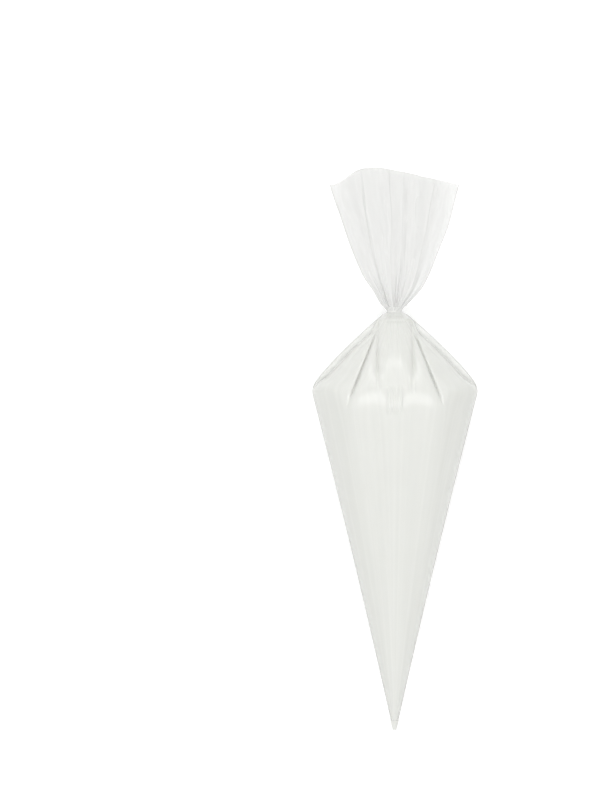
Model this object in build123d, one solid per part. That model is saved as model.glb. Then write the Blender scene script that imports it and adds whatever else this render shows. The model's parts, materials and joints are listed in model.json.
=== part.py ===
from build123d import *
import os
from math import cos, pi, radians, sin

# A disposable piping bag: a cone of thin clear film, filled with white icing, closed at its
# tip by a weld and at its neck by twisting the film, with the loose film fanned out beyond.
# It lies on a table, z = 0, with its length along Y, the closed tip at -Y and the mouth at +Y.
# All sizes are in millimetres.

# ---------------------------------------------------------------- driving dimensions
# Filled body
body_length = 218.6  # closed tip to the gather's face at the neck
shoulder_length = 38.1  # gather's face back to the widest level
widest_half_width = 44.3
widest_height = 50.0
widest_seam_height = 21.0  # height of the side welds at the widest level
shoulder_curve = 1.25  # exponent of the shoulder's outline, 1 is straight
table_sink = 2.5  # how far the round section is flattened by the table, at the widest level

# Closed tip
tip_half_width = 1.0
tip_height = 1.8
tip_weld_length = 5.0

# Film and welds
film_thickness = 0.3
weld_width = 0.9  # bead that the hot knife leaves outside the film's edge
weld_thickness = 0.8
fill_gap = 0.2  # icing to film
shoulder_margin = 3.6  # empty film beside the icing along the shoulder's side welds

# Gathers and neck
gather_length = 5.0  # packed pleats between the icing and the neck
gather_half_width = 9.0
gather_half_height = 6.4
neck_centre_height = 18.0
neck_radius = 4.5
neck_end_radius = 4.6  # the neck's round end, just proud of its lobes
neck_length = 3.4  # face of the gather to the pivot that the tail folds about
neck_lobes = 6
lobe_depth = 0.5
neck_twist_angle = 110.0  # degrees of twist along the neck
joint_gap = 0.3  # running gap on each side of the neck

# Tail, the loose film beyond the neck
tail_length = 75.3  # pivot to the highest point of the mouth's edge
mouth_corner_reach = 66.0  # pivot to the corners of the mouth
mouth_peak_offset = -9.5  # sideways place of the highest point
mouth_half_width = 36.0
tail_flare = 0.68  # exponent of the fan's width, 1 is a straight-sided fan
tail_root_half_thickness = 3.9
mouth_half_thickness = 6.4
mouth_centre_height = 7.4  # the tail droops to here
tail_gather_start = 3.8  # pivot to the gathered root, clear of the neck when the tail folds
tail_gather_end = 11.0  # pivot to where the gathered root opens out into loose film

# How the curves are drawn
ring_points = 16  # points of one section
shoulder_steps = 9
lobe_points = 4  # points along each lobe of the neck
twist_steps = 2
tail_steps = 8
corner_ease = 8.0  # the shoulder's corner starts to round this far below the widest level
beyond = 8.0  # how far cutting tools and trimmed blanks pass the part
room = 300.0  # size of the half-space tools

# ---------------------------------------------------------------- places along Y
overall_length = body_length + neck_length + tail_length
tip_y = -overall_length / 2
neck_y = tip_y + body_length
widest_y = neck_y - shoulder_length
pivot_y = neck_y + neck_length
mouth_y = pivot_y + tail_length


# ---------------------------------------------------------------- sections
def ring(y, half_width, middle, rise, fall):
    """One closed section at y: half an ellipse above the side welds and half of another below."""
    points = []
    for i in range(ring_points):
        angle = 2 * pi * i / ring_points - pi / 2
        reach = rise if sin(angle) > 0 else fall
        points.append((half_width * cos(angle), y, middle + reach * sin(angle)))
    return closed_curve(points)


def closed_curve(points):
    """A smooth closed curve through the points, evenly parametrised so that rings loft cleanly."""
    steps = [i / len(points) for i in range(len(points) + 1)]
    return Wire([Edge.make_spline(points, parameters=steps, periodic=True)])


def between(low, high, share):
    """Straight-line value between low and high."""
    return low + (high - low) * share


def seam_height(y):
    """Height of the side welds along the filled body."""
    if y <= widest_y:
        return between(tip_height / 2, widest_seam_height, (y - tip_y) / (widest_y - tip_y))
    return between(widest_seam_height, neck_centre_height, (y - widest_y) / shoulder_length)


def body_ring(y, grow=0.0, margin=0.0):
    """Section of the filled body at y, grown outwards by grow and narrower by margin on the shoulder."""
    middle = seam_height(y)
    if y <= widest_y:
        share = (y - tip_y) / (widest_y - tip_y)
        half_width = between(tip_half_width, widest_half_width, share)
        top = between(tip_height, widest_height, share)
        bottom = between(-table_sink * tip_height / widest_height, -table_sink, share)
    else:
        share = (y - widest_y) / shoulder_length
        half_width = between(widest_half_width, gather_half_width, share**shoulder_curve)
        half_width -= margin * sin(pi * share) ** 2
        top = between(widest_height, neck_centre_height + gather_half_height, share**1.8)
        bottom = between(-table_sink, neck_centre_height - gather_half_height, share**2.2)
    return ring(y, half_width + grow, middle, top - middle + grow, middle - bottom + grow)


def body_blank(grow=0.0, margin=0.0):
    """The filled body's outer form, grown outwards by grow, cut flat where it lies on the table."""
    cone_end = widest_y - corner_ease
    stations = [between(cone_end, neck_y, i / shoulder_steps) for i in range(shoulder_steps + 1)]
    ends = [body_ring(tip_y, grow, margin), body_ring(cone_end, grow, margin)]
    cone = Solid.make_loft(ends, ruled=True)
    shoulder = Solid.make_loft([body_ring(y, grow, margin) for y in stations])
    return (cone - below(-grow)) + (shoulder - below(-grow))


def tail_middle(y):
    """Height of the tail's middle, which droops from the neck to the table."""
    return between(neck_centre_height, mouth_centre_height, (y - pivot_y) / tail_length)


def tail_blank(grow=0.0):
    """The tail's outer form from the neck to beyond its mouth, grown outwards by grow."""
    rings = []
    for i in range(tail_steps + 1):
        y = between(pivot_y + 1, mouth_y + beyond, i / tail_steps)
        share = (y - pivot_y) / tail_length
        half_width = between(neck_radius, mouth_half_width, share**tail_flare) + grow
        half_thickness = between(tail_root_half_thickness, mouth_half_thickness, share) + grow
        rings.append(ring(y, half_width, tail_middle(y), half_thickness, half_thickness))
    return Solid.make_loft(rings)


# ---------------------------------------------------------------- cutting tools
def below(z):
    """Everything below the height z."""
    return Pos(0, 0, z - room / 2) * Box(2 * room, 2 * room, room)


def ahead_of(y):
    """Everything on the mouth's side of y."""
    return Pos(0, y + room / 2, 0) * Box(2 * room, room, 2 * room)


def right_side():
    """Everything at positive x."""
    return Pos(room / 2, 0, 0) * Box(room, 2 * room, 2 * room)


def over_seam(path, lift=0.0):
    """Everything above the side welds' line, a list of (y, z), raised by lift."""
    points = [(y, z + lift) for y, z in path]
    profile = Polyline(*points, (points[-1][0], room), (points[0][0], room), close=True)
    return extrude(Plane.YZ * make_face(profile), room, both=True)


def seam_band(path):
    """The thin layer, as thick as a weld, along the side welds' line."""
    return over_seam(path, -weld_thickness / 2) - over_seam(path, weld_thickness / 2)


def mouth_trim():
    """What is left of the tail's blank once its mouth is cut to its curved edge."""
    corner_y = pivot_y + mouth_corner_reach
    corner_x = mouth_half_width * (mouth_corner_reach / tail_length) ** tail_flare
    outside = mouth_half_width + beyond
    peak = (mouth_peak_offset, mouth_y)
    edge = Spline((-corner_x, corner_y), peak, (corner_x, corner_y), tangents=[(1, 0.95), (1, -0.25)])
    back = neck_y - beyond
    frame = Polyline(
        (corner_x, corner_y), (outside, corner_y), (outside, back), (-outside, back), (-outside, corner_y),
        (-corner_x, corner_y),
    )
    return extrude(make_face(edge.edges() + frame.edges()), room, both=True)


body_seam = [(tip_y - beyond, seam_height(tip_y)), (widest_y, seam_height(widest_y))]
body_seam += [(neck_y, neck_centre_height), (neck_y + beyond, neck_centre_height)]
tail_seam = [(neck_y - beyond, neck_centre_height), (pivot_y, neck_centre_height)]
tail_seam.append((mouth_y + beyond, tail_middle(mouth_y + beyond)))


# ---------------------------------------------------------------- pieces of the filled body
def filled_body():
    """Film panels, side welds, tip weld, icing and gathered film of the filled body."""
    outer = body_blank()
    inner = body_blank(-film_thickness)
    icing = body_blank(-film_thickness - fill_gap, shoulder_margin)
    filled = ahead_of(tip_y + tip_weld_length) - ahead_of(neck_y - gather_length)
    film = (outer - inner) & filled
    beads = (body_blank(weld_width) - outer) & seam_band(body_seam) & filled
    upper = over_seam(body_seam)
    return {
        "icing_filling": icing & filled,
        "front_film": film & upper,
        "back_film": film - upper,
        "left_side_weld": beads - right_side(),
        "right_side_weld": beads & right_side(),
        "tip_weld": outer - ahead_of(tip_y + tip_weld_length),
        "neck_gather": outer & ahead_of(neck_y - gather_length),
    }


# ---------------------------------------------------------------- twisted neck
def neck_twist():
    """Rope of twisted film: lobed sections, each turned a little further, and a round end for the tail."""
    start = neck_y + joint_gap
    sections = []
    for i in range(twist_steps + 1):
        share = i / twist_steps
        points = []
        for j in range(lobe_points * neck_lobes):
            angle = 2 * pi * j / (lobe_points * neck_lobes)
            radius = neck_radius - lobe_depth * (1 - cos(neck_lobes * angle)) / 2
            turned = angle + radians(neck_twist_angle) * share
            height = neck_centre_height + radius * sin(turned)
            points.append((radius * cos(turned), between(start, pivot_y, share), height))
        sections.append(closed_curve(points))
    return Solid.make_loft(sections) + (neck_ball(neck_end_radius) & ahead_of(pivot_y))


def neck_ball(radius):
    """A ball about the point that the tail folds about."""
    return Pos(0, pivot_y, neck_centre_height) * Sphere(radius)


# ---------------------------------------------------------------- pieces of the tail
def tail():
    """Film panels, side welds and gathered root of the loose film beyond the neck."""
    outer = tail_blank() & mouth_trim()
    socket = neck_ball(neck_end_radius + joint_gap)
    loose = ahead_of(pivot_y + tail_gather_end)
    film = (outer - tail_blank(-film_thickness)) & loose
    beads = (tail_blank(weld_width) - tail_blank()) & seam_band(tail_seam) & loose & mouth_trim()
    upper = over_seam(tail_seam)
    return {
        "front_tail_film": film & upper,
        "back_tail_film": film - upper,
        "left_tail_weld": beads - right_side(),
        "right_tail_weld": beads & right_side(),
        "tail_gather": (outer & ahead_of(pivot_y + tail_gather_start)) - loose - socket,
    }


# ---------------------------------------------------------------- export
pieces = {**filled_body(), "neck_twist": neck_twist(), **tail()}
os.makedirs("parts", exist_ok=True)
for name, piece in pieces.items():
    export_step(Compound(piece.solids()), f"parts/{name}.step")
    print(name, len(piece.solids()), round(piece.volume, 1))
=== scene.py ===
"""A filled disposable piping bag of clear film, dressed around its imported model.

Everything is in metres in the model's own frame: +Z is up from the table, +Y runs from the closed
tip to the open mouth, and the neck folds and turns about the point that the joints give. The filled
body is measured by its distance below that point, the tail by its distance ahead of it.
"""

from __future__ import annotations

import json
import logging
import math
from collections.abc import Callable
from dataclasses import dataclass, replace
from enum import Enum

import bpy
import numpy as np
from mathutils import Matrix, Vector

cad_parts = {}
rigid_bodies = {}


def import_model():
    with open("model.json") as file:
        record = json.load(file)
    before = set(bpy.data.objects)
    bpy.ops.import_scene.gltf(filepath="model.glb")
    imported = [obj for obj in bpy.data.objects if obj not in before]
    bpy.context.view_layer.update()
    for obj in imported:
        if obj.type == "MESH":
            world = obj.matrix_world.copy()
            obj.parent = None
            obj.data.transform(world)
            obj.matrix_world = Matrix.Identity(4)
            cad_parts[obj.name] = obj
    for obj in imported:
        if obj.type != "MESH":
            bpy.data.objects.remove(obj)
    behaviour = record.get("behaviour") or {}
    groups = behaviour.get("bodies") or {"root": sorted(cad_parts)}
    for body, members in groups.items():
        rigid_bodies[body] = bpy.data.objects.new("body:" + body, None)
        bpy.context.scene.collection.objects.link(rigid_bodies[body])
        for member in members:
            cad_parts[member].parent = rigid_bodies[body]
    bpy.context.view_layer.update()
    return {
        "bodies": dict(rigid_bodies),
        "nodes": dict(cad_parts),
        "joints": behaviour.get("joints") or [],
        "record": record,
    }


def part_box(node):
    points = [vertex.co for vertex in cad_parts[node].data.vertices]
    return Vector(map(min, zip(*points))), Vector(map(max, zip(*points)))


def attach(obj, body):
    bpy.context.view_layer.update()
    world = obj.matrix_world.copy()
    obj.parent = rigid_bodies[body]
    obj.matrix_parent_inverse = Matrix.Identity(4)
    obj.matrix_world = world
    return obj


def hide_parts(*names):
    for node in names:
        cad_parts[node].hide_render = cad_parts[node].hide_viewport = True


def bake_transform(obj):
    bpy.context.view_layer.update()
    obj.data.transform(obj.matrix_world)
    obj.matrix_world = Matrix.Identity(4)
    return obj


LOG = logging.getLogger("piping_bag")
MM = 0.001
GOLDEN_ANGLE = 2.399

Span = tuple[float, float]
Colour = tuple[float, float, float, float]
Array = np.ndarray
SheetForm = Callable[[Array, Array], Array]
Piece = bpy.types.Object
Socket = bpy.types.NodeSocket

WHITE: Colour = (1, 1, 1, 1)
MELTED_FILM: Colour = (0.86, 0.865, 0.84, 1.0)


class Side(Enum):
    """The two film panels of the bag: the front one lies on top, the back one on the table."""

    FRONT = 1
    BACK = -1


class Slot(Enum):
    """The record's material slots."""

    ICING = "icing"
    FILM = "film"
    TAIL_FILM = "tail_film"
    GATHERED_FILM = "gathered_film"
    WELD = "weld"


# ---- small maths
def ramp(value: Array, start: float, end: float) -> Array:
    """A smooth step from 0 at start to 1 at end; end may lie below start."""
    share = np.clip((value - start) / (end - start), 0.0, 1.0)
    return share * share * (3 - 2 * share)


def bell(value: Array, width: float, power: float = 2) -> Array:
    """1 at 0, falling to about a third at the width; value isn't negative where power is odd."""
    return np.exp(-((value / width) ** power))


def mix(low: float | Array, high: float | Array, share: float | Array) -> Array:
    """The straight-line value between low and high."""
    return low + (high - low) * share


def soft_min(first: Array, second: Array, radius: float) -> Array:
    """The lower of two curves, rounded where they cross."""
    return -radius * np.logaddexp(-first / radius, -second / radius)


@dataclass(frozen=True)
class Stretch:
    """A stretch with smooth ends: where it begins, is full, starts to end and has ended."""

    begins: float
    full: float
    ending: float
    ended: float

    def at(self, value: Array) -> Array:
        """1 inside the stretch and 0 outside it."""
        return ramp(value, self.begins, self.full) * ramp(value, self.ended, self.ending)


@dataclass(frozen=True)
class Waves:
    """Uneven waves in the film: their height, and how many of each sort there are to one unit."""

    height: float
    counts: tuple[float, ...]

    def at(self, value: Array, seed: float) -> Array:
        """Sums the waves.

        Args:
            value: the places to look at.
            seed: shifts the waves.

        Returns:
            Heights, between about -height and height.
        """
        total = np.zeros_like(value)
        for i, count in enumerate(self.counts):
            total += np.sin(2 * math.pi * count * value + seed * (i + 1) * GOLDEN_ANGLE)
        return self.height * total / math.sqrt(len(self.counts))


# ---- places
@dataclass(frozen=True)
class Places:
    """The few sizes that everything hangs on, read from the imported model."""

    tip_y: float
    tip_weld_end_y: float
    pivot: Vector
    widest_half_width: float
    crest_height: float

    @classmethod
    def from_frame(cls, frame: dict) -> Places:
        """Reads the places.


        Returns:
            The places along, across and above the table.
        """
        _, film_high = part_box("front_film")
        return cls(
            tip_y=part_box("tip_weld")[0].y,
            tip_weld_end_y=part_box("tip_weld")[1].y,
            pivot=Vector(frame["joints"][0]["pos_m"]),
            widest_half_width=film_high.x,
            crest_height=film_high.z,
        )


# ---- the filled body's form
@dataclass(frozen=True)
class Crease:
    """A valley that the gathered film draws over the shoulder.

    Places are (across, below the neck), seen from above. Its ends fade over shares of its length.
    """

    start: Span
    end: Span
    depth: float
    width: float
    softness: float = 0.4
    ends: Stretch = Stretch(-0.12, 0.15, 0.72, 1.12)
    core_power: float = 1.4
    slope_spread: float = 3.4

    def relief(self, across: Array, below: Array) -> Array:
        """How far the film lies above its smooth form because of this crease.

        Args:
            across: sideways places of the film's points.
            below: their distances below the neck.

        Returns:
            Heights, negative in the valley.
        """
        ax, ay = self.start
        dx, dy = self.end[0] - ax, self.end[1] - ay
        length = math.hypot(dx, dy)
        along = ((across - ax) * dx + (below - ay) * dy) / length**2
        away = ((across - ax) * dy - (below - ay) * dx) / length
        core = bell(np.abs(away), self.width, self.core_power)
        slopes = bell(away, self.slope_spread * self.width)
        return -self.ends.at(along) * self.depth * mix(core, slopes, self.softness)


def mirrored(crease: Crease) -> Crease:
    """The same crease on the other side of the bag."""
    (start_x, start_y), (end_x, end_y) = crease.start, crease.end
    return replace(crease, start=(-start_x, start_y), end=(-end_x, end_y))


@dataclass(frozen=True)
class Ridges:
    """Narrow ridges that run along the bag, side by side: their places across it and their stretch."""

    places: tuple[float, ...]
    height: float
    stretch: Stretch
    width: float = 0.5 * MM

    def relief(self, across: Array, below: Array) -> Array:
        """Heights of the ridges above the smooth film.

        Args:
            across: sideways places of the film's points.
            below: their distances below the neck.

        Returns:
            Heights, 0 away from the ridges.
        """
        fade = self.stretch.at(below)
        relief = np.zeros_like(across)
        for place in self.places:
            relief += self.height * fade * bell(across - place, self.width)
        return relief


@dataclass(frozen=True)
class BodyForm:
    """The filled body: a cone of film that a crest closes into a pleated shoulder and the neck.

    A size named curve is an exponent. An allowance makes up for what a corner's rounding takes away.
    A span is where something begins and where it is full.
    """

    places: Places
    # Outline, seen from above
    shoulder: float = 41.5 * MM
    shoulder_curve: float = 1.2
    shoulder_slope: float = 0.9
    corner_radius: float = 1.2 * MM
    corner_allowance: float = 0.1 * MM
    tip_half_width: float = 0.75 * MM
    waist: float = 0.8 * MM
    # Collar under the neck
    film_end: float = 1.2 * MM
    ledge: float = 4.2 * MM
    ledge_half_width: float = 8.6 * MM
    ledge_curve: float = 0.75
    ledge_rise: float = 8.0 * MM
    neck_radius: float = 4.3 * MM
    # Heights
    tip_height: float = 1.8 * MM
    seam_height: float = 21.0 * MM
    sink: float = 2.5 * MM
    underside_curve: float = 2.2
    crest: float = 42.5 * MM
    crest_radius: float = 4.0 * MM
    crest_run_out: float = 6.0 * MM
    cone_allowance: float = 1.2 * MM
    dome_allowance: float = 3.6 * MM
    dome_curve: float = 1.8
    # Where the crest sags: beside the slanting creases, and in the middle
    side_sag: float = 6.5 * MM
    side_sag_place: float = 24.0 * MM
    side_sag_width: float = 9.5 * MM
    tongue: float = 4.3 * MM
    tongue_width: float = 8.0 * MM
    sag_opens: Span = (26 * MM, 42 * MM)
    # Section
    fullness: float = 2.2
    middle_density: float = 0.65
    panel_gap: float = 0.12 * MM
    table_gap: float = 0.1 * MM
    skin: float = 0.35 * MM
    seam_margin: float = 0.15 * MM
    thinnest: float = 0.3 * MM
    # Empty film beside the icing
    flange: float = 4.2 * MM
    flange_share: float = 0.07
    flange_stretch: Stretch = Stretch(4 * MM, 13 * MM, 33 * MM, 42 * MM)
    flange_lift: float = 2.0 * MM
    flange_curve: float = 0.6
    lift_stretch: Stretch = Stretch(5 * MM, 14 * MM, 34 * MM, 42 * MM)
    nip_depth: float = 0.8 * MM
    nip_share: float = 0.25
    nips: tuple[Stretch, ...] = (
        Stretch(17 * MM, 20 * MM, 27 * MM, 29 * MM),
        Stretch(29 * MM, 31 * MM, 36 * MM, 38 * MM),
    )
    # Wrinkles
    wrinkles: Waves = Waves(0.14 * MM, (5.3, 8.1, 12.7))
    wrinkle_seed: float = 1.7
    wrinkle_stretch: Stretch = Stretch(0.5 * MM, 3 * MM, 4 * MM, 46 * MM)
    back_wrinkles: Waves = Waves(0.5 * MM, (2.5, 4.2, 6.1))
    back_wrinkle_seed: float = 0.9
    back_wrinkle_opens: Span = (40 * MM, 8 * MM)
    collar: float = 5.9 * MM
    collar_width: float = 0.7 * MM
    collar_depth: float = 0.6 * MM
    collar_ends: Span = (9.5 * MM, 7 * MM)

    @property
    def length(self) -> float:
        """Closed tip to the narrowest part of the neck."""
        return self.places.pivot.y - self.places.tip_y

    @property
    def tip_start(self) -> float:
        """Distance below the neck at which the tip's weld starts."""
        return self.places.pivot.y - self.places.tip_weld_end_y

    def rise_to(self, below: Array, ledge: float) -> Array:
        """How far the collar under the neck stands out from the neck's middle line."""
        share = np.clip((below - self.film_end) / (self.ledge - self.film_end), 0, 1)
        return mix(self.neck_radius, ledge, share**self.ledge_curve)

    def half_width(self, below: Array) -> Array:
        """Half the outline's width.

        Args:
            below: distance below the neck.

        Returns:
            Half widths, seen from above.
        """
        cone_length = self.length - self.shoulder
        widest = self.places.widest_half_width + self.corner_allowance
        before = np.maximum(self.shoulder - below, 0)
        beyond = np.maximum(below - self.shoulder, 0)
        share = np.clip((self.shoulder - below) / (self.shoulder - self.ledge), 0, 1)
        at_shoulder = mix(widest, self.ledge_half_width, share**self.shoulder_curve)
        at_shoulder += self.shoulder_slope * beyond
        share = np.clip(beyond / cone_length, 0, 1)
        at_cone = mix(widest, self.tip_half_width, share) - 4 * self.waist * share * (1 - share)
        at_cone += before * (widest - self.tip_half_width) / cone_length
        outline = soft_min(at_shoulder, at_cone, self.corner_radius)
        return np.where(below < self.ledge, self.rise_to(below, self.ledge_half_width), outline)

    def seam(self, below: Array) -> Array:
        """Height of the side welds.

        Args:
            below: distance below the neck.

        Returns:
            Heights above the table.
        """
        share = np.clip((below - self.shoulder) / (self.length - self.shoulder), 0, 1)
        at_cone = mix(self.seam_height, self.tip_height / 2, share)
        at_shoulder = mix(self.places.pivot.z, self.seam_height, np.clip(below / self.shoulder, 0, 1))
        return np.where(below > self.shoulder, at_cone, at_shoulder)

    def top(self, below: Array) -> Array:
        """Height of the front film along the middle of the bag.

        Args:
            below: distance below the neck.

        Returns:
            Heights above the table.
        """
        high = self.places.crest_height
        neck = self.places.pivot.z
        slope = (high + self.cone_allowance - self.tip_height) / (self.length - self.crest)
        cone = self.tip_height + slope * (self.length - below)
        end = self.crest + self.crest_run_out
        share = np.clip((end - below) / (end - self.ledge), 0, 1)
        dome = mix(high + self.dome_allowance, neck + self.ledge_rise, share**self.dome_curve)
        low = neck + self.rise_to(below, self.ledge_rise)
        return np.where(below < self.ledge, low, soft_min(cone, dome, self.crest_radius))

    def crest_sag(self, across: Array, below: Array) -> Array:
        """How much further from the neck the crest lies, where it sags.

        Args:
            across: sideways places.
            below: distances below the neck.

        Returns:
            Distances along the bag.
        """
        away = np.abs(across)
        beside = self.side_sag * bell(away - self.side_sag_place, self.side_sag_width)
        tongue = self.tongue * bell(away, self.tongue_width, 3)
        return (beside + tongue) * ramp(below, *self.sag_opens)

    def bottom(self, below: Array) -> Array:
        """Height of the back film along the middle of the bag, before the table flattens it.

        Args:
            below: distance below the neck.

        Returns:
            Heights above the table, negative where the table will flatten the film.
        """
        neck = self.places.pivot.z
        share = np.clip((below - self.shoulder) / (self.length - self.shoulder), 0, 1)
        cone = mix(-self.sink, 0.0, share)
        share = np.clip((self.shoulder - below) / (self.shoulder - self.ledge), 0, 1)
        shoulder = mix(-self.sink, neck - self.ledge_rise, share**self.underside_curve)
        low = neck - self.rise_to(below, self.ledge_rise)
        return np.where(below < self.ledge, low, np.where(below < self.shoulder, shoulder, cone))

    def empty_margin(self, below: Array) -> Array:
        """Width of the empty film beside the icing."""
        return mix(self.seam_margin, self.flange, self.flange_stretch.at(below))

    def flange_rise(self, share: Array, below: Array) -> Array:
        """How far the empty film beside the icing stands above the side welds' line.

        Args:
            share: 0 at the icing, 1 at the weld.
            below: distance below the neck.

        Returns:
            Heights; the film turns up towards the weld and is nipped in beside the icing.
        """
        nips = sum(nip.at(below) for nip in self.nips)
        up = self.flange_lift * share**self.flange_curve * self.lift_stretch.at(below)
        return np.where(share > 0, up, 0) - self.nip_depth * nips * bell(share, self.nip_share)

    def creases(self) -> list[Crease]:
        """The valleys on the shoulder, those of the left side first."""
        band = Crease((-8.8 * MM, 4 * MM), (-9.7 * MM, 38 * MM), 3.3 * MM, 0.8 * MM, 0.55)
        slant = Crease((-10.4 * MM, 13 * MM), (-24.3 * MM, 48 * MM), 3.2 * MM, 0.38 * MM, 0.35)
        outer = Crease((-13.0 * MM, 14.5 * MM), (-24.5 * MM, 27.0 * MM), 1.3 * MM, 0.5 * MM)
        corner = Crease((-28.5 * MM, 29.5 * MM), (-35.5 * MM, 37.5 * MM), 1.3 * MM, 0.5 * MM)
        small = Crease((-7.4 * MM, 5 * MM), (-12.4 * MM, 14 * MM), 1.6 * MM, 0.7 * MM)
        one_side = [band, slant, outer, corner, small]
        return [*one_side, *[mirrored(crease) for crease in one_side]]

    def crest_ridges(self) -> list[Ridges]:
        """The upright ridges where the gathered film slackens over the crest, the middle ones first."""
        middle = (-4.0 * MM, -2.1 * MM, -0.3 * MM, 1.4 * MM, 3.1 * MM)
        outer = (-10.3 * MM, -7.9 * MM, 7.8 * MM, 9.9 * MM)
        return [
            Ridges(middle, 0.5 * MM, Stretch(39 * MM, 42 * MM, 51 * MM, 56 * MM)),
            Ridges(outer, 0.35 * MM, Stretch(33 * MM, 37 * MM, 41 * MM, 46 * MM)),
        ]

    def front_relief(self, across: Array, below: Array) -> Array:
        """Creases, fine radiating wrinkles and the small ridges on the crest, on the front film.

        Args:
            across: sideways places.
            below: distances below the neck.

        Returns:
            Heights above the smooth film.
        """
        relief = np.zeros_like(across)
        for crease in self.creases():
            relief += crease.relief(across, below)
        fan = across / np.maximum(self.half_width(below), self.tip_half_width)
        relief += self.wrinkle_stretch.at(below) * self.wrinkles.at(fan, self.wrinkle_seed)
        groove = bell(below - self.collar, self.collar_width) * ramp(np.abs(across), *self.collar_ends)
        relief -= self.collar_depth * groove
        for ridges in self.crest_ridges():
            relief += ridges.relief(across, below)
        return relief

    def panel(self, side: Side, across: Array, below: Array) -> Array:
        """Points of a film panel.

        Args:
            side: which panel.
            across: place across the film, from -1 at the left weld to 1 at the right one.
            below: distance below the neck.

        Returns:
            An array of x, y, z.
        """
        outer = self.half_width(below)
        filled = outer - self.empty_margin(below)
        seam = self.seam(below)
        across = across * mix(self.middle_density, 1, across**2)
        away = np.abs(across)
        start = 1 - self.flange_share
        angle = np.clip(away / start, 0, 1) * math.pi / 2
        power = 2 / self.fullness
        x = filled * np.sin(angle) ** power
        flange = np.clip((away - start) / self.flange_share, 0, 1)
        x = np.where(away > start, mix(filled, outer, flange), x) * np.sign(across)
        up = np.clip(np.cos(angle), 0, 1) ** power
        if side is Side.FRONT:
            z = seam + (self.top(below - self.crest_sag(x, below)) - seam) * up
            z += self.front_relief(x, below) * up**0.5
        else:
            gathered = ramp(below, *self.back_wrinkle_opens)
            z = seam - (seam - self.bottom(below)) * up
            z += up * gathered * self.back_wrinkles.at(across, self.back_wrinkle_seed)
        gap = side.value * self.panel_gap * (1 - flange)
        z += (away > start) * (self.flange_rise(flange, below) + gap)
        return np.stack([x, self.places.pivot.y - below, np.maximum(z, self.table_gap)], axis=-1)

    def icing(self, turn: Array, below: Array) -> Array:
        """Points of the icing's surface, which lies just inside the film.

        Args:
            turn: angle round the section, 0 at the right, a quarter turn at the top.
            below: distance below the neck.

        Returns:
            An array of x, y, z.
        """
        filled = self.half_width(below) - self.empty_margin(below) - self.seam_margin
        filled = np.maximum(filled, self.thinnest)
        seam = self.seam(below)
        power = 2 / self.fullness
        x = filled * np.sign(np.cos(turn)) * np.abs(np.cos(turn)) ** power
        up = np.sin(turn)
        lift = np.abs(up) ** power
        high = seam + (self.top(below - self.crest_sag(x, below)) - seam - self.skin) * lift
        high += self.front_relief(x, below) * lift**0.5
        low = np.maximum(seam - (seam - self.bottom(below) - self.skin) * lift, self.skin)
        return np.stack([x, self.places.pivot.y - below, np.where(up > 0, high, low)], axis=-1)


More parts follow.
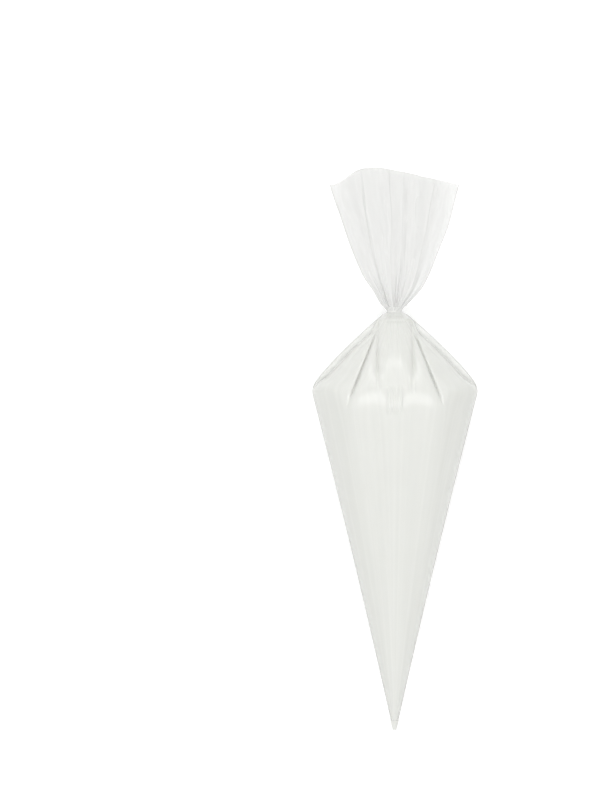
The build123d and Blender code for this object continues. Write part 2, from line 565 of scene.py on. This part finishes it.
# ---- the tail's form
@dataclass(frozen=True)
class TailForm:
    """The loose film beyond the neck: two panels folded into pleats that fan out to the mouth.

    Spans without MM are shares of the way to the mouth, but right_fan and left_fan are places across
    the fan, from -1 at its left edge to 1 at its right one.
    """

    places: Places
    # Outline, seen from above
    length: float = 75.3 * MM
    corner_reach: float = 66.2 * MM
    peak: float = -9.5 * MM
    rim_ease: float = 3.0 * MM
    rim_curve: float = 1.15
    mouth_half_width: float = 36.0 * MM
    neck_radius: float = 4.1 * MM
    lean: float = -0.45 * MM
    root: float = -0.3 * MM
    flare: float = 0.67
    hold: float = 0.6
    hold_length: float = 5.0 * MM
    # The right half opens sooner than the left, and eases towards the mouth
    right_fullness: float = 1.8 * MM
    right_opens: Span = (1 * MM, 13 * MM)
    right_eases: Span = (0.5, 0.9)
    right_fan: Span = (-0.3, 1.0)
    right_eased: float = 0.45
    left_nip: float = 1.1 * MM
    nip_place: float = 10.5 * MM
    nip_width: float = 5.0 * MM
    left_fan: Span = (0.2, -1.0)
    # Folding
    layer: float = 0.26 * MM
    turned_back: float = 0.04
    fold_step: float = 0.02
    fold_samples: int = 1201
    fold_rounding: int = 33
    # Heights
    mouth_height: float = 7.4 * MM
    root_dome: float = 3.2 * MM
    root_dome_opens: Span = (0.0, 0.3)
    mouth_dome: float = 1.8 * MM
    mouth_dome_opens: Span = (0.4, 1.0)
    root_layer: float = 0.3
    layers_open: Span = (0.0, 0.6)
    table_gap: float = 0.3 * MM
    # Crumples and waves; up to pinch_end the root is kept as slim as the neck
    front_seed: float = 2.3
    back_seed: float = 5.1
    crumples: Waves = Waves(0.7 * MM, (2.2, 3.7, 5.3))
    fine_crumples: Waves = Waves(0.5 * MM, (8.0, 11.0))
    crumples_open: Span = (0.45, 0.03)
    crumple_reach: float = 1.02
    pinched: float = 0.25
    pinch_end: float = 5.0 * MM
    mouth_waves: Waves = Waves(0.5 * MM, (0.9, 1.7, 3.1))
    mouth_waves_open: Span = (0.1, 0.6)
    mouth_wave_slant: float = 0.15
    side_waves: Waves = Waves(0.25 * MM, (1.3, 2.1))
    side_waves_open: Span = (0.1, 0.5)
    wander: float = 0.05
    wander_along: float = 2.1
    wander_across: float = 5.0
    wander_opens: Span = (0.1, 0.7)

    def half_width(self, ahead: Array, fan: Array) -> Array:
        """Half the fan's width.

        Args:
            ahead: distance ahead of the neck.
            fan: place across the fan, from -1 to 1.

        Returns:
            Half widths; the right half opens sooner than the left.
        """
        share = np.clip(ahead / self.length, 0, 1)
        opened = share**self.flare * (1 - self.hold * np.exp(-ahead / self.hold_length))
        sooner = ramp(ahead, *self.right_opens) * (1 - self.right_eased * ramp(share, *self.right_eases))
        sooner *= ramp(fan, *self.right_fan)
        later = bell(ahead - self.nip_place, self.nip_width) * ramp(fan, *self.left_fan)
        width = mix(self.neck_radius, self.mouth_half_width, opened)
        return width + self.right_fullness * sooner - self.left_nip * later

    def rim(self, across: Array) -> Array:
        """How far ahead of the neck the mouth's edge lies.

        Args:
            across: sideways places.

        Returns:
            Distances ahead of the neck.
        """
        left = ramp(across, self.peak - self.rim_ease, -self.mouth_half_width)
        right = np.clip((across - self.peak) / (self.mouth_half_width - self.peak), 0, 1)
        drop = self.length - self.corner_reach
        return self.length - drop * np.where(across < self.peak, left, right**self.rim_curve)

    def folds(self, side: Side) -> list[tuple[float, float]]:
        """Where the panel's film runs across the fan.

        Args:
            side: which panel.

        Returns:
            Pairs of place across the fan, from -1 to 1, and depth below the outer layer, in layers.
        """
        if side is Side.FRONT:
            pleats = [(-0.5, -0.9), (-0.08, -0.52), (0.2, -0.2), (0.66, 0.24)]
        else:
            pleats = [(-0.36, -0.8), (-0.02, -0.46), (0.42, -0.04), (0.78, 0.36)]
        run = [(-1.0, 0.0)]
        for outer, inner in pleats:
            run += [(outer, 0.0), (inner, 1.2), ((outer + inner) / 2, 2.2), (outer + self.turned_back, 1.4)]
        return [*run, (1.0, 0.0)]

    def laid(self, side: Side, across: Array) -> tuple[Array, Array]:
        """Where the film lies once it is folded, with its folds rounded.

        Args:
            side: which panel.
            across: place across the film, from -1 at the left weld to 1 at the right one.

        Returns:
            Places across the fan, and depths below the outer layer, in layers.
        """
        run = np.array(self.folds(side))
        reach = np.concatenate([[0], np.cumsum(np.hypot(np.diff(run[:, 0]), self.fold_step))])
        samples = np.linspace(-1, 1, self.fold_samples)
        kernel = np.hanning(self.fold_rounding)
        kernel /= kernel.sum()
        pad = len(kernel) // 2
        fan, depth = (np.interp((samples + 1) / 2 * reach[-1], reach, values) for values in run.T)
        for values in (fan, depth):
            values[pad:-pad] = np.convolve(values, kernel, "same")[pad:-pad]
        return np.interp(across, samples, fan), np.interp(across, samples, depth)

    def panel(self, side: Side, across: Array, along: Array) -> Array:
        """Points of a film panel.

        Args:
            side: which panel.
            across: place across the film, from -1 at the left weld to 1 at the right one.
            along: share of the way from the neck to the mouth's edge.

        Returns:
            An array of x, y, z.
        """
        seed = self.front_seed if side is Side.FRONT else self.back_seed
        fan, layers = self.laid(side, across)
        rim = self.rim(fan * self.mouth_half_width)
        ahead = self.root + along * (rim - self.root)
        share = np.clip(ahead / self.length, 0, 1)
        half_width = self.half_width(np.maximum(ahead, 0), fan)
        wander = np.sin(self.wander_along * along + self.wander_across * fan + side.value)
        wander *= self.wander * ramp(share, *self.wander_opens)
        fan = np.clip(fan + wander * (1 - fan**2), -1, 1)

        dome = mix(self.neck_radius, self.root_dome, ramp(share, *self.root_dome_opens))
        dome += self.mouth_dome * ramp(share, *self.mouth_dome_opens)
        height = dome * np.clip(1 - fan**2, 0, 1)
        height -= layers * self.layer * mix(self.root_layer, 1.0, ramp(share, *self.layers_open))
        crumpled = ramp(share, *self.crumples_open) * np.sqrt(self.crumple_reach - np.abs(fan))
        crumpled *= mix(self.pinched, 1.0, ramp(ahead, self.root, self.pinch_end))
        height += crumpled * (self.crumples.at(fan, seed) + self.fine_crumples.at(across, seed))
        slanting = fan + self.mouth_wave_slant * along
        height += ramp(share, *self.mouth_waves_open) * self.mouth_waves.at(slanting, seed)

        middle = mix(self.places.pivot.z, self.mouth_height, share)
        x = self.lean + fan * half_width
        x += ramp(share, *self.side_waves_open) * self.side_waves.at(along + across, seed)
        z = np.maximum(middle + side.value * height, self.table_gap)
        return np.stack([x, self.places.pivot.y + ahead, z], axis=-1)


# ---- mesh making
def deselect() -> None:
    """Goes back to object mode with nothing selected."""
    if bpy.context.mode != "OBJECT":
        bpy.ops.object.mode_set(mode="OBJECT")
    bpy.ops.object.select_all(action="DESELECT")


def select_only(piece: Piece) -> None:
    """Selects one piece and makes it the active one."""
    deselect()
    piece.select_set(True)
    bpy.context.view_layer.objects.active = piece


def named(name: str) -> Piece:
    """Names the object that an operator has just added, and its mesh."""
    piece = bpy.context.active_object
    piece.name = name
    piece.data.name = name
    return piece


def coordinates(piece: Piece) -> Array:
    """The mesh's points as an array."""
    points = np.zeros(len(piece.data.vertices) * 3)
    piece.data.vertices.foreach_get("co", points)
    return points.reshape(-1, 3)


def place_points(piece: Piece, points: Array) -> None:
    """Moves the mesh's points to new places."""
    piece.data.vertices.foreach_set("co", points.astype(np.float32).ravel())
    piece.data.update()


def smooth_shaded(piece: Piece) -> None:
    """Shades a piece smooth all over."""
    select_only(piece)
    bpy.ops.object.shade_smooth()


def face_outwards(piece: Piece, flip: bool = False) -> None:
    """Recalculates a closed piece's normals, or turns an open sheet over.

    Args:
        piece: the piece.
        flip: whether it is an open sheet that is turned over.
    """
    select_only(piece)
    bpy.ops.object.mode_set(mode="EDIT")
    bpy.ops.mesh.select_all(action="SELECT")
    if flip:
        bpy.ops.mesh.flip_normals()
    else:
        bpy.ops.mesh.normals_make_consistent(inside=False)
    bpy.ops.object.mode_set(mode="OBJECT")


def film_sheet(name: str, side: Side, columns: int, rows: int, form: SheetForm) -> Piece:
    """A sheet of film, laid round the bag.

    Args:
        name: the piece's name.
        side: which panel it is.
        columns: cells across the film.
        rows: cells along it.
        form: gives the points from places across, from -1 to 1, and along, from 0 to 1.

    Returns:
        The new piece.
    """
    deselect()
    bpy.ops.mesh.primitive_grid_add(x_subdivisions=columns, y_subdivisions=rows, size=2)
    sheet = named(name)
    flat = coordinates(sheet)
    place_points(sheet, form(flat[:, 0], (flat[:, 1] + 1) / 2))
    if side is Side.BACK:
        face_outwards(sheet, flip=True)
    smooth_shaded(sheet)
    return sheet


def welded_bead(name: str, line: Array, radius: float) -> Piece:
    """A thin bead of melted film along a line of points.

    Args:
        name: the piece's name.
        line: the points that the bead follows.
        radius: half the bead's thickness.

    Returns:
        The new piece, a closed mesh.
    """
    deselect()
    bpy.ops.curve.primitive_nurbs_path_add()
    curve = named(name)
    curve.data.splines.clear()
    spline = curve.data.splines.new("POLY")
    spline.points.add(len(line) - 1)
    for point, place in zip(spline.points, line):
        point.co = (*place, 1)
    curve.data.bevel_depth = radius
    curve.data.bevel_resolution = 2
    curve.data.use_fill_caps = True
    bpy.ops.object.convert(target="MESH")
    bead = named(name)
    smooth_shaded(bead)
    return bead


# ---- materials
class Nodes:
    """Adds and links the nodes of one material, node group or world."""

    def __init__(self, tree: bpy.types.NodeTree) -> None:
        """Keeps the tree that the nodes are added to."""
        self.tree = tree

    def add(self, kind: str, inputs: dict | None = None, **settings: object) -> bpy.types.Node:
        """Adds a node.

        Args:
            kind: Blender's name of the node type.
            inputs: socket name or number to a value, or to a socket to link from.
            settings: the node's own properties.

        Returns:
            The new node.
        """
        node = self.tree.nodes.new(kind)
        for name, value in settings.items():
            setattr(node, name, value)
        for name, value in (inputs or {}).items():
            self.feed(node.inputs[name], value)
        return node

    def feed(self, socket: Socket, value: object) -> None:
        """Gives an input socket a value, or links it to the output socket given."""
        if isinstance(value, Socket):
            self.tree.links.new(value, socket)
        else:
            socket.default_value = value

    def math(self, operation: str, first: object, second: object = 0.0, clamp: bool = False) -> Socket:
        """Adds a sum of one or two values or sockets, and gives its socket."""
        node = self.add("ShaderNodeMath", {0: first, 1: second}, operation=operation, use_clamp=clamp)
        return node.outputs[0]

    def scaled(self, share: Socket, low: object, high: object) -> Socket:
        """The value between low and high, each a value or a socket, at a share from 0 to 1."""
        return self.add("ShaderNodeMapRange", {"Value": share, "To Min": low, "To Max": high}).outputs[0]


def shaded_material(name: str, **looks: object) -> tuple[bpy.types.Material, Nodes, bpy.types.Node]:
    """A new material with its shader set.

    Args:
        name: the material's name.
        looks: the shader's sockets, with _ for a space, and their values.

    Returns:
        The material, its nodes and its shader.
    """
    material = bpy.data.materials.new(name)
    material.use_nodes = True
    shader = material.node_tree.nodes["Principled BSDF"]
    for socket, value in looks.items():
        shader.inputs[socket.replace("_", " ")].default_value = value
    return material, Nodes(material.node_tree), shader


def fine_wrinkles_group() -> bpy.types.NodeTree:
    """Fine wrinkles of pulled film, drawn out along the film, as a height and a mask of their crests."""
    name = "fine_wrinkles"
    if name in bpy.data.node_groups:
        return bpy.data.node_groups[name]
    group = bpy.data.node_groups.new(name, "ShaderNodeTree")
    face = group.interface
    face.new_socket("Coordinates", in_out="INPUT", socket_type="NodeSocketVector")
    for label, value in (("Across", 60.0), ("Along", 3.0), ("Sharpness", 2.0)):
        face.new_socket(label, in_out="INPUT", socket_type="NodeSocketFloat").default_value = value
    face.new_socket("Height", in_out="OUTPUT", socket_type="NodeSocketFloat")
    face.new_socket("Crest", in_out="OUTPUT", socket_type="NodeSocketFloat")
    nodes = Nodes(group)
    given = nodes.add("NodeGroupInput").outputs
    stretch = nodes.add("ShaderNodeCombineXYZ", {"X": given["Across"], "Y": given["Along"], "Z": 1.0})
    spread = nodes.add(
        "ShaderNodeVectorMath", {0: given["Coordinates"], 1: stretch.outputs[0]}, operation="MULTIPLY"
    )
    noise = nodes.add(
        "ShaderNodeTexNoise",
        {"Vector": spread.outputs[0], "Scale": 1.0, "Detail": 3.0, "Roughness": 0.55, "Distortion": 0.4},
    )
    from_middle = nodes.math("ABSOLUTE", nodes.math("SUBTRACT", noise.outputs[0], 0.5))
    narrowness = -9.0
    ridge = nodes.math("ADD", nodes.math("MULTIPLY", from_middle, narrowness), 1.0, clamp=True)
    crest = nodes.math("POWER", ridge, given["Sharpness"])
    nodes.add("NodeGroupOutput", {"Height": noise.outputs[0], "Crest": crest})
    return group


@dataclass(frozen=True)
class IcingFinish:
    """White icing pressed smooth against the film."""

    name: str = "white_icing"
    colour: Colour = (0.79, 0.80, 0.76, 1.0)
    light_colour: Colour = (0.825, 0.83, 0.795, 1.0)
    cloud_scale: float = 28.0
    grain_scale: float = 420.0
    grain_strength: float = 0.05
    grain_height: float = 0.4 * MM
    roughness: float = 0.5
    coat: float = 0.8
    coat_roughness: float = 0.1
    glow_through: float = 0.12
    glow_radius: tuple[float, float, float] = (4.0 * MM, 4.0 * MM, 3.5 * MM)

    def material(self) -> bpy.types.Material:
        """Builds the material."""
        material, nodes, shader = shaded_material(
            self.name,
            Roughness=self.roughness,
            Coat_Weight=self.coat,
            Coat_Roughness=self.coat_roughness,
            Subsurface_Weight=self.glow_through,
            Subsurface_Radius=self.glow_radius,
        )
        place = nodes.add("ShaderNodeTexCoord").outputs["Object"]
        clouds = nodes.add("ShaderNodeTexNoise", {"Vector": place, "Scale": self.cloud_scale, "Detail": 2.0})
        tint = nodes.add(
            "ShaderNodeMix",
            {"Factor": clouds.outputs[0], 6: self.colour, 7: self.light_colour},
            data_type="RGBA",
        )
        grain = nodes.add("ShaderNodeTexNoise", {"Vector": place, "Scale": self.grain_scale, "Detail": 2.0})
        bump = nodes.add(
            "ShaderNodeBump",
            {"Height": grain.outputs[0], "Strength": self.grain_strength, "Distance": self.grain_height},
        )
        nodes.feed(shader.inputs["Base Color"], tint.outputs[2])
        nodes.feed(shader.inputs["Normal"], bump.outputs[0])
        return material


@dataclass(frozen=True)
class FilmFinish:
    """Thin clear film: mostly see-through, milky along its fine wrinkles, with a soft gloss."""

    name: str
    alpha: float
    crest_alpha: float
    bump: float
    colour: Colour = (0.955, 0.96, 0.935, 1.0)
    roughness: float = 0.16
    across: float = 60.0
    along: float = 3.0
    bump_distance: float = 0.5 * MM
    light_passed: float = 0.0

    def material(self) -> bpy.types.Material:
        """Builds the material."""
        material, nodes, shader = shaded_material(self.name, Base_Color=self.colour, Roughness=self.roughness)
        film = nodes.add("ShaderNodeUVMap", uv_map="UVMap").outputs[0]
        wrinkles = nodes.add("ShaderNodeGroup", node_tree=fine_wrinkles_group())
        for socket, value in (("Coordinates", film), ("Across", self.across), ("Along", self.along)):
            nodes.feed(wrinkles.inputs[socket], value)
        alpha = nodes.scaled(wrinkles.outputs["Crest"], self.alpha, self.crest_alpha)
        in_shadow = nodes.add("ShaderNodeLightPath").outputs["Is Shadow Ray"]
        cover = nodes.math("MULTIPLY", alpha, nodes.scaled(in_shadow, 1.0, 1.0 - self.light_passed))
        bump = nodes.add(
            "ShaderNodeBump",
            {"Height": wrinkles.outputs["Height"], "Strength": self.bump, "Distance": self.bump_distance},
        )
        nodes.feed(shader.inputs["Alpha"], cover)
        nodes.feed(shader.inputs["Normal"], bump.outputs[0])
        return material


def dress(piece: Piece, material: bpy.types.Material) -> None:
    """Gives a piece its material and reports the piece."""
    piece.data.materials.clear()
    piece.data.materials.append(material)
    LOG.info("%s: %d faces", piece.name, len(piece.data.polygons))


# ---- sub-assemblies
@dataclass
class FilledBody:
    """Icing, the two film panels and the side welds of the filled body."""

    form: BodyForm
    columns: int = 340
    cone_rows: int = 80
    shoulder_rows: int = 190
    dense_end: float = 58 * MM
    weld_overlap: float = 0.05 * MM
    icing_segments: int = 380
    icing_rings: int = 240
    icing_front_share: float = 0.76
    icing_reach: float = 0.977
    icing_end_rings: int = 6
    bead_radius: float = 0.3 * MM
    bead_inset: float = 0.2 * MM
    bead_reach: float = 0.985
    bead_points: int = 140

    def below_neck(self, share: Array) -> Array:
        """Distance below the neck of a row of the mesh, with most rows on the shoulder.

        Args:
            share: 0 at the tip, 1 at the neck.

        Returns:
            Distances below the neck.
        """
        turn = self.cone_rows / (self.cone_rows + self.shoulder_rows)
        low = self.form.tip_start + self.weld_overlap
        cone = mix(low, self.dense_end, np.clip(share / turn, 0, 1))
        shoulder = mix(self.dense_end, self.form.film_end, np.clip((share - turn) / (1 - turn), 0, 1))
        return np.where(share < turn, cone, shoulder)

    def film(self, side: Side) -> Piece:
        """One film panel."""
        name = "front_film_panel" if side is Side.FRONT else "back_film_panel"
        columns = self.columns if side is Side.FRONT else self.columns // 2
        rows = self.cone_rows + self.shoulder_rows
        return film_sheet(
            name,
            side,
            columns,
            rows,
            lambda across, share: self.form.panel(side, across, self.below_neck(share)),
        )

    def icing(self) -> Piece:
        """The icing, closed at both ends, with most of its mesh on the front."""
        deselect()
        rings = self.icing_rings
        front = self.icing_front_share
        back = 1 - front
        bpy.ops.mesh.primitive_uv_sphere_add(segments=self.icing_segments, ring_count=rings, radius=1)
        piece = named("white_icing_filling")
        ball = coordinates(piece)
        ring = (np.arcsin(np.clip(ball[:, 2], -1, 1)) / math.pi + 0.5) * rings
        turn = np.arctan2(ball[:, 1], ball[:, 0])
        share = (turn / (2 * math.pi) + back / 2 + 0.5) % 1.0
        turn = np.where(share < back, -math.pi * (1 - share / back), math.pi * (share - back) / front)
        below = self.below_neck(self.icing_reach * np.clip((ring - 1) / (rings - 2), 0, 1))
        points = self.form.icing(turn, below)
        rounding = np.sqrt(np.clip((rings - ring) / self.icing_end_rings, 0, 1))
        closing = np.where(ring < 0.5, 0, rounding)
        middle = (self.form.top(below) + self.form.bottom(below)) / 2
        points[:, 0] *= closing
        points[:, 2] = middle + (points[:, 2] - middle) * closing
        place_points(piece, points)
        face_outwards(piece)
        smooth_shaded(piece)
        return piece

    def weld(self, name: str, edge: float) -> Piece:
        """The melted bead along one side; edge is -1 on the left and 1 on the right."""
        below = self.below_neck(np.linspace(0, self.bead_reach, self.bead_points))
        line = self.form.panel(Side.FRONT, np.full_like(below, edge), below)
        line[:, 0] -= edge * self.bead_inset
        return welded_bead(name, line, self.bead_radius)

    def build(self) -> None:
        icing = self.icing()
        dress(icing, IcingFinish().material())
        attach(icing, "bag")
        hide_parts("icing_filling")

        film = FilmFinish("body_film", alpha=0.45, crest_alpha=0.47, across=9, along=0.8, bump=0.01)
        film = film.material()
        for side, nodes in ((Side.FRONT, ("front_film", "neck_gather")), (Side.BACK, ("back_film",))):
            panel = self.film(side)
            dress(panel, film)
            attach(panel, "bag")
            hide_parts(*nodes)

        bead = FilmFinish("weld_bead", alpha=0.6, crest_alpha=0.65, colour=MELTED_FILM, bump=0.0)
        bead = bead.material()
        for name, edge, node in (
            ("left_weld_bead", -1.0, "left_side_weld"),
            ("right_weld_bead", 1.0, "right_side_weld"),
        ):
            weld = self.weld(name, edge)
            dress(weld, bead)
            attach(weld, "bag")
            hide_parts(node)


@dataclass
class TwistedNeck:
    """The rope of twisted film that closes the bag."""

    form: BodyForm
    tail_form: TailForm
    lobes: int = 9
    lobe_depth: float = 0.3 * MM
    lobe_curve: float = 0.7
    inset: float = 0.15 * MM
    foot: float = 0.8 * MM
    foot_curve: float = 4
    twist: float = math.radians(75)
    start: float = -3.2 * MM
    end: float = 1.5 * MM
    sides: int = 108
    rings: int = 19

    def tube(self) -> Piece:
        """An open tube, two units long, cut into rings."""
        deselect()
        bpy.ops.mesh.primitive_cylinder_add(vertices=self.sides, radius=1, depth=2, end_fill_type="NOTHING")
        tube = named("twisted_neck_film")
        bpy.ops.object.mode_set(mode="EDIT")
        last = 1 - 2 / (self.rings + 1)
        for height in np.linspace(-last, last, self.rings):
            bpy.ops.mesh.select_all(action="SELECT")
            bpy.ops.mesh.bisect(plane_co=(0, 0, height), plane_no=(0, 0, 1))
        bpy.ops.object.mode_set(mode="OBJECT")
        return tube

    def build(self) -> None:
        """Builds the rope, twisted along its length."""
        rope = self.tube()
        tube = coordinates(rope)
        share = (tube[:, 2] + 1) / 2
        angle = np.arctan2(tube[:, 1], tube[:, 0])
        radius = self.form.neck_radius - self.inset + self.foot * (1 - share) ** self.foot_curve
        radius -= self.lobe_depth * (0.5 - 0.5 * np.cos(self.lobes * angle)) ** self.lobe_curve
        turned = angle + self.twist * share
        pivot = self.form.places.pivot
        points = np.stack(
            [
                pivot.x + self.tail_form.lean * share + radius * np.cos(turned),
                pivot.y + mix(self.start, self.end, share),
                pivot.z - radius * np.sin(turned),
            ],
            axis=-1,
        )
        place_points(rope, points)
        face_outwards(rope)
        smooth_shaded(rope)
        finish = FilmFinish(
            "gathered_film", alpha=0.75, crest_alpha=0.85, colour=MELTED_FILM, across=30, along=2, bump=0.1
        )
        dress(rope, finish.material())
        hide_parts("neck_twist")
        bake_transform(rope)


@dataclass
class Tail:
    """The loose film beyond the neck, in pleats, with its welds."""

    form: TailForm
    columns: int = 420
    rows: int = 130
    root_density: float = 1.35
    bead_radius: float = 0.3 * MM
    bead_start: float = 0.04
    bead_points: int = 90
    bend_length: float = 12 * MM

    def bend(self, piece: Piece) -> None:
        """Bakes a piece's place into its mesh."""
        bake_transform(piece)

    def film(self, side: Side, name: str) -> Piece:
        """One film panel, with most of its mesh at its root."""
        return film_sheet(
            name,
            side,
            self.columns,
            self.rows,
            lambda across, share: self.form.panel(side, across, share**self.root_density),
        )

    def weld(self, name: str, edge: float) -> Piece:
        """The melted bead along one side; edge is -1 on the left and 1 on the right."""
        along = np.linspace(self.bead_start, 1, self.bead_points)
        line = self.form.panel(Side.FRONT, np.full_like(along, edge), along)
        return welded_bead(name, line, self.bead_radius)

    def build(self) -> None:
        film = FilmFinish(
            "tail_film",
            alpha=0.62,
            crest_alpha=0.72,
            colour=(0.848, 0.85, 0.838, 1.0),
            across=9,
            along=0.8,
            bump=0.03,
            light_passed=0.85,
        ).material()
        for side, name, nodes in (
            (Side.FRONT, "front_tail_panel", ("front_tail_film", "tail_gather")),
            (Side.BACK, "back_tail_panel", ("back_tail_film",)),
        ):
            panel = self.film(side, name)
            dress(panel, film)
            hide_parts(*nodes)
            self.bend(panel)

        bead = bpy.data.materials["weld_bead"]
        for name, edge, node in (
            ("left_tail_bead", -1.0, "left_tail_weld"),
            ("right_tail_bead", 1.0, "right_tail_weld"),
        ):
            weld = self.weld(name, edge)
            dress(weld, bead)
            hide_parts(node)
            self.bend(weld)


# ---- stage
@dataclass(frozen=True)
class Softbox:
    """A rectangular lamp: where it hangs, its width and length, and its power in watts."""

    name: str
    place: tuple[float, float, float]
    size: Span
    power: float


@dataclass
class Studio:
    """White table, soft light and a camera that looks straight down."""

    places: Places
    table_size: float = 6.0
    table_drop: float = 0.2 * MM
    table_colour: Colour = (0.94, 0.94, 0.94, 1)
    table_roughness: float = 0.9
    table_glow: float = 0.28
    ambient: float = 0.755
    ambient_below: float = 0.72
    ambient_above: float = 1.1
    aim: tuple[float, float, float] = (0, 0.03, 0.02)
    softboxes: tuple[Softbox, ...] = (
        Softbox("crest_softbox", (0.0, -0.26, 1.1), (1.3, 0.28), 3.6),
        Softbox("mouth_softbox", (-0.15, 1.0, 0.9), (1.1, 0.7), 3.9),
    )
    view_centre: Span = (-46.35 * MM, 25.9 * MM)
    view_length: float = 421.9 * MM
    lens: float = 400.0
    sensor: float = 36.0
    film_layers: int = 48

    def table(self) -> None:
        """The white table top, which also glows a little wherever it is seen."""
        deselect()
        bpy.ops.mesh.primitive_plane_add(size=self.table_size, location=(0, 0, -self.table_drop))
        table = named("white_table")
        material, nodes, shader = shaded_material(
            "white_table",
            Base_Color=self.table_colour,
            Roughness=self.table_roughness,
            Emission_Color=WHITE,
        )
        rays = nodes.add("ShaderNodeLightPath").outputs
        seen = nodes.math("MAXIMUM", rays["Is Camera Ray"], rays["Is Glossy Ray"])
        seen = nodes.math("MAXIMUM", seen, rays["Is Transmission Ray"])
        nodes.feed(shader.inputs["Emission Strength"], nodes.math("MULTIPLY", seen, self.table_glow))
        table.data.materials.append(material)

    def sky(self) -> None:
        """Light from all round, a little brighter from above, behind a white backdrop."""
        world = bpy.data.worlds.new("studio")
        bpy.context.scene.world = world
        world.use_nodes = True
        nodes = Nodes(world.node_tree)
        background = world.node_tree.nodes["Background"]
        nodes.feed(background.inputs["Color"], WHITE)
        seen = nodes.add("ShaderNodeLightPath").outputs["Is Camera Ray"]
        towards = nodes.add("ShaderNodeTexCoord").outputs["Generated"]
        height = nodes.add("ShaderNodeSeparateXYZ", {0: towards}).outputs["Z"]
        glow = nodes.scaled(height, self.ambient * self.ambient_below, self.ambient * self.ambient_above)
        nodes.feed(background.inputs["Strength"], nodes.scaled(seen, glow, 1.0))

    def lamp(self, box: Softbox) -> None:
        """Hangs a softbox and aims it at the bag.

        Args:
            box: its place, size and power.
        """
        data = bpy.data.lights.new(box.name, "AREA")
        data.shape = "RECTANGLE"
        data.size, data.size_y = box.size
        data.energy = box.power
        lamp = bpy.data.objects.new(box.name, data)
        bpy.context.scene.collection.objects.link(lamp)
        lamp.location = box.place
        lamp.visible_camera = False
        lamp.rotation_mode = "QUATERNION"
        lamp.rotation_quaternion = (Vector(self.aim) - Vector(box.place)).to_track_quat("-Z", "Y")

    def camera(self) -> None:
        """A long lens straight above."""
        data = bpy.data.cameras.new("camera")
        data.lens = self.lens
        data.sensor_width = self.sensor
        camera = bpy.data.objects.new("camera", data)
        bpy.context.scene.collection.objects.link(camera)
        distance = self.view_length / 2 / (self.sensor / 2 / self.lens)
        camera.location = (*self.view_centre, distance + self.places.pivot.z)
        bpy.context.scene.camera = camera

    def build(self) -> None:
        """Sets the stage."""
        self.table()
        self.sky()
        for box in self.softboxes:
            self.lamp(box)
        self.camera()
        bpy.context.scene.view_settings.view_transform = "Standard"
        bpy.context.scene.cycles.transparent_max_bounces = self.film_layers


def main() -> None:
    """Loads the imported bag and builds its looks."""
    logging.basicConfig(level=logging.INFO, format="%(name)s %(message)s")
    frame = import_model()
    places = Places.from_frame(frame)
    body = BodyForm(places)
    tail = TailForm(places)
    FilledBody(body).build()
    TwistedNeck(body, tail).build()
    Tail(tail).build()
    tip = frame["nodes"]["tip_weld"]
    tip.data.materials.clear()
    tip.data.materials.append(IcingFinish("melted_tip").material())
    Studio(places).build()


if __name__ == "__main__":
    main()
